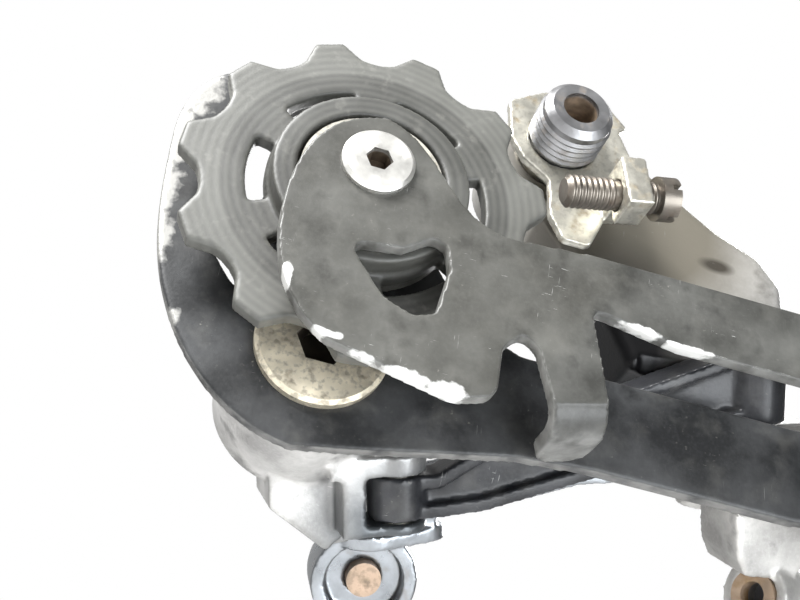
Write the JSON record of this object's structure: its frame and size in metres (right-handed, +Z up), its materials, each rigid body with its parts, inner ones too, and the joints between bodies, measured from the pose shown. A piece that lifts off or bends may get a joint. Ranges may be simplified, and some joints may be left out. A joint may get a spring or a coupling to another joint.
{
  "type": "rear bicycle derailleur",
  "caption": "Rear bicycle derailleur: hanger bolt, two sprung knuckles joined by a slanted parallelogram, and a swinging chain cage with two toothed pulleys.",
  "frame": {"origin": "on the hanger bolt's axis, at the face that meets the frame's hanger", "axes": "+X forward, +Y inboard towards the wheel, +Z up, as on a bicycle that stands level; the links are fully outboard and the cage is on its stop"},
  "size_m": [0.1409, 0.0582, 0.0736],
  "materials": {
    "plate_black": "satin black coating, worn to bare metal along the edges",
    "pulley_black": "moulded resin, slightly polished by the chain",
    "cast_grey": "grey metallic coating on a casting",
    "link_black": "gloss black coating",
    "link_silver": "forged and clear coated",
    "steel_plated": "zinc plated, a little tarnished",
    "steel_black": "black oxide",
    "bolt_silver": "bright plated",
    "axle_steel": "machined, greasy and faintly rusted",
    "spring_steel": "spring wire",
    "ferrule_brass": "tarnished",
    "seal_plastic": "moulded",
    "adjuster_plastic": "knurled",
    "bushing_bronze": "sintered"
  },
  "bodies": {
    "hanger": {"hanger_bolt": "bolt_silver", "hanger_bushing": "steel_plated", "b_stop_plate": "steel_plated"},
    "tension_screw": {"b_tension_screw": "steel_black"},
    "rear_knuckle": {"b_knuckle": "cast_grey", "b_spring": "spring_steel", "b_pivot_pins": "steel_plated", "cable_ferrule": "ferrule_brass", "adjuster_spring": "spring_steel"},
    "high_screw": {"high_limit_screw": "steel_black"},
    "low_screw": {"low_limit_screw": "steel_black"},
    "adjuster": {"barrel_adjuster": "adjuster_plastic"},
    "inner_arm": {"inner_link": "link_black"},
    "outer_arm": {"outer_link": "link_silver", "cable_anchor_bolt": "axle_steel", "cable_clamp_washer": "steel_plated"},
    "front_knuckle": {"p_knuckle": "cast_grey", "p_pivot_pins": "steel_plated", "p_bushing": "bushing_bronze", "p_spring": "spring_steel", "p_knuckle_cap": "seal_plastic"},
    "cage": {"cage_outer_plate": "plate_black", "cage_inner_plate": "plate_black", "p_axle": "axle_steel", "p_axle_clip": "steel_plated", "cage_stop_pin": "steel_plated", "guide_pulley_bolt": "bolt_silver", "tension_pulley_bolt": "bolt_silver", "guide_bushing": "bushing_bronze", "tension_bushing": "bushing_bronze", "guide_dust_caps": "steel_plated", "tension_dust_caps": "steel_plated"},
    "guide_wheel": {"guide_pulley": "pulley_black"},
    "tension_wheel": {"tension_pulley": "pulley_black"}
  },
  "joints": [
    {"name": "tension_screw_travel", "type": "slide", "parent": "hanger", "child": "tension_screw", "axis": [0.9736, 0, -0.2284], "range_m": [-0.001, 0.002]},
    {"name": "b_knuckle_swing", "type": "hinge", "parent": "hanger", "child": "rear_knuckle", "pos_m": [0, 0, 0], "axis": [0, -1, 0], "range_deg": [0, 20], "stiffness_Nm_per_rad": 0.5, "springref_deg": -34.38},
    {"name": "high_limit_travel", "type": "slide", "parent": "rear_knuckle", "child": "high_screw", "axis": [0, 1, 0], "range_m": [-0.002, 0]},
    {"name": "low_limit_travel", "type": "slide", "parent": "rear_knuckle", "child": "low_screw", "axis": [0, 1, 0], "range_m": [-0.002, 0]},
    {"name": "adjuster_turn", "type": "hinge", "parent": "rear_knuckle", "child": "adjuster", "pos_m": [-0.0508, -0.0278, -0.0488], "axis": [0.8803, 0.4302, -0.2001], "continuous": true},
    {"name": "outer_link_swing", "type": "hinge", "parent": "rear_knuckle", "child": "outer_arm", "pos_m": [-0.03459, -0.02453, -0.03442], "axis": [0.2736, 0.6, 0.7518], "range_deg": [0, 50], "stiffness_Nm_per_rad": 0.6, "springref_deg": -57.3},
    {"name": "inner_link_swing", "type": "hinge", "parent": "rear_knuckle", "child": "inner_arm", "pos_m": [-0.03706, -0.01493, -0.04119], "axis": [0.2736, 0.6, 0.7518], "range_deg": [0, 50]},
    {"name": "p_knuckle_swing", "type": "hinge", "parent": "outer_arm", "child": "front_knuckle", "pos_m": [0.01336, -0.0301, -0.04743], "axis": [0.2736, 0.6, 0.7518], "range_deg": [-50, 0]},
    {"name": "cage_swing", "type": "hinge", "parent": "front_knuckle", "child": "cage", "pos_m": [0.027, -0.004, -0.0417], "axis": [0, -1, 0], "range_deg": [0, 100], "stiffness_Nm_per_rad": 0.3, "springref_deg": -91.67},
    {"name": "guide_spin", "type": "hinge", "parent": "cage", "child": "guide_wheel", "pos_m": [0.0262, 0.0036, -0.0217], "axis": [0, 1, 0], "continuous": true},
    {"name": "tension_spin", "type": "hinge", "parent": "cage", "child": "tension_wheel", "pos_m": [-0.0648, 0.0036, -0.0387], "axis": [0, 1, 0], "continuous": true}
  ],
  "couplings": [
    {"joint": "inner_link_swing", "follows": "outer_link_swing", "ratio": 1},
    {"joint": "p_knuckle_swing", "follows": "outer_link_swing", "ratio": -1}
  ]
}
